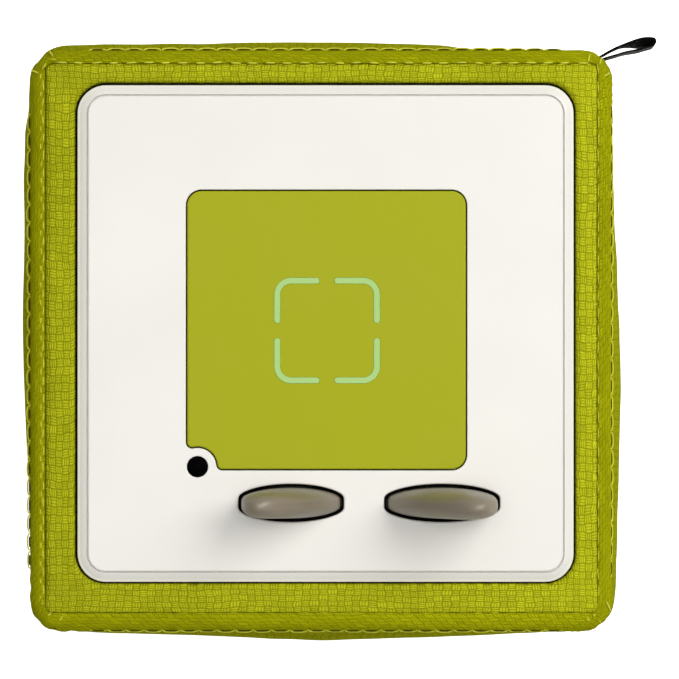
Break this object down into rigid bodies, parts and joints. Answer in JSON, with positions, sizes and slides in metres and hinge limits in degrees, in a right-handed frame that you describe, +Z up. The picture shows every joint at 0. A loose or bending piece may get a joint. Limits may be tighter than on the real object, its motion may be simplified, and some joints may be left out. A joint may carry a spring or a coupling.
{
  "type": "audio story player",
  "caption": "Padded fabric cube with a moulded top plate, a pad for a small figure, two pinchable ears of unequal height, a hanging loop and a round charging recess below.",
  "frame": {"origin": "centre of the charging recess's mouth in the underside, at the level that the player stands on", "axes": "+Z up out of the pad on the top plate; the ears are on the -Y side and the headphone socket on the +Y side"},
  "size_m": [0.1234, 0.1182, 0.147],
  "materials": {
    "cover_fabric": "matt basket weave, padded",
    "foam": "open-cell foam",
    "ribbon": "woven ribbon",
    "black_plastic": "moulded, matt",
    "case_plastic": "moulded, matt",
    "foot_rubber": "matt",
    "contact_metal": "plated, smooth",
    "circuit_board": "solder mask",
    "screw_steel": "zinc plated",
    "plate_plastic": "satin moulding",
    "pad_plastic": "satin moulding",
    "mark_ink": "printed",
    "dark_lens": "glossy lens",
    "copper": "etched track",
    "magnet": "nickel plated",
    "ear_rubber": "satin silicone",
    "button_plastic": "moulded",
    "lamp": "epoxy",
    "chip": "moulded",
    "shield_metal": "tinned sheet",
    "connector_plastic": "moulded",
    "cell_sleeve": "shrink sleeve",
    "speaker_frame": "black coated steel",
    "cone_paper": "pressed paper",
    "lead_red": "insulated wire",
    "lead_dark": "insulated wire",
    "ribbon_cable": "flat cable"
  },
  "bodies": {
    "housing": {"cover_top": "cover_fabric", "cover_bottom": "cover_fabric", "cover_front": "cover_fabric", "cover_back": "cover_fabric", "cover_left": "cover_fabric", "cover_right": "cover_fabric", "foam_jacket": "foam", "hanging_loop": "ribbon", "jack_eyelet": "black_plastic", "case_shell": "case_plastic", "base_plate": "case_plastic", "foot_ring": "foot_rubber", "contact_ring": "contact_metal", "contact_button": "contact_metal", "charge_board": "circuit_board", "case_screws": "screw_steel", "top_plate": "plate_plastic", "plate_screws": "screw_steel", "target_pad": "pad_plastic", "target_marks": "mark_ink", "status_light": "dark_lens", "antenna_board": "circuit_board", "antenna_coil": "copper", "magnet_holder": "black_plastic", "figure_magnet": "magnet", "ear_bracket_left": "black_plastic", "ear_bracket_right": "black_plastic", "bracket_screws": "screw_steel", "control_board": "circuit_board", "control_board_screws": "screw_steel", "switch_left": "black_plastic", "switch_right": "black_plastic", "status_led": "lamp", "main_board": "circuit_board", "main_board_screws": "screw_steel", "processor": "chip", "radio_module": "shield_metal", "card_socket": "shield_metal", "memory_card": "chip", "board_connectors": "connector_plastic", "headphone_socket": "black_plastic", "battery_tray": "black_plastic", "battery_cells": "cell_sleeve", "tray_screws": "screw_steel", "speaker_basket": "speaker_frame", "speaker_magnet": "magnet", "speaker_surround": "foot_rubber", "speaker_gasket": "foam", "speaker_screws": "screw_steel", "speaker_lead": "lead_red", "battery_lead": "lead_dark", "charge_lead": "lead_dark", "ribbon_cable": "ribbon_cable"},
    "small_ear": {"ear_left": "ear_rubber", "ear_carrier_left": "black_plastic"},
    "large_ear": {"ear_right": "ear_rubber", "ear_carrier_right": "black_plastic"},
    "small_ear_button": {"plunger_left": "button_plastic"},
    "large_ear_button": {"plunger_right": "button_plastic"},
    "cone": {"speaker_cone": "cone_paper"}
  },
  "joints": [
    {"name": "small_ear_pinch", "type": "hinge", "parent": "housing", "child": "small_ear", "pos_m": [-0.0067, -0.03195, 0.112], "axis": [1, 0, 0], "range_deg": [0, 2.5], "stiffness_Nm_per_rad": 0.6, "springref_deg": -1.15},
    {"name": "large_ear_pinch", "type": "hinge", "parent": "housing", "child": "large_ear", "pos_m": [0.02185, -0.03195, 0.112], "axis": [1, 0, 0], "range_deg": [0, 2.5], "stiffness_Nm_per_rad": 0.6, "springref_deg": -1.15},
    {"name": "small_ear_button_press", "type": "slide", "parent": "housing", "child": "small_ear_button", "axis": [0, 0, -1], "range_m": [0, 0.0003]},
    {"name": "large_ear_button_press", "type": "slide", "parent": "housing", "child": "large_ear_button", "axis": [0, 0, -1], "range_m": [0, 0.0003]},
    {"name": "cone_travel", "type": "slide", "parent": "housing", "child": "cone", "axis": [-1, 0, 0], "range_m": [-0.0012, 0.0012], "stiffness_N_per_m": 1500}
  ],
  "couplings": [
    {"joint": "small_ear_button_press", "follows": "small_ear_pinch", "m_per_rad": 0.00687},
    {"joint": "large_ear_button_press", "follows": "large_ear_pinch", "m_per_rad": 0.00687}
  ]
}
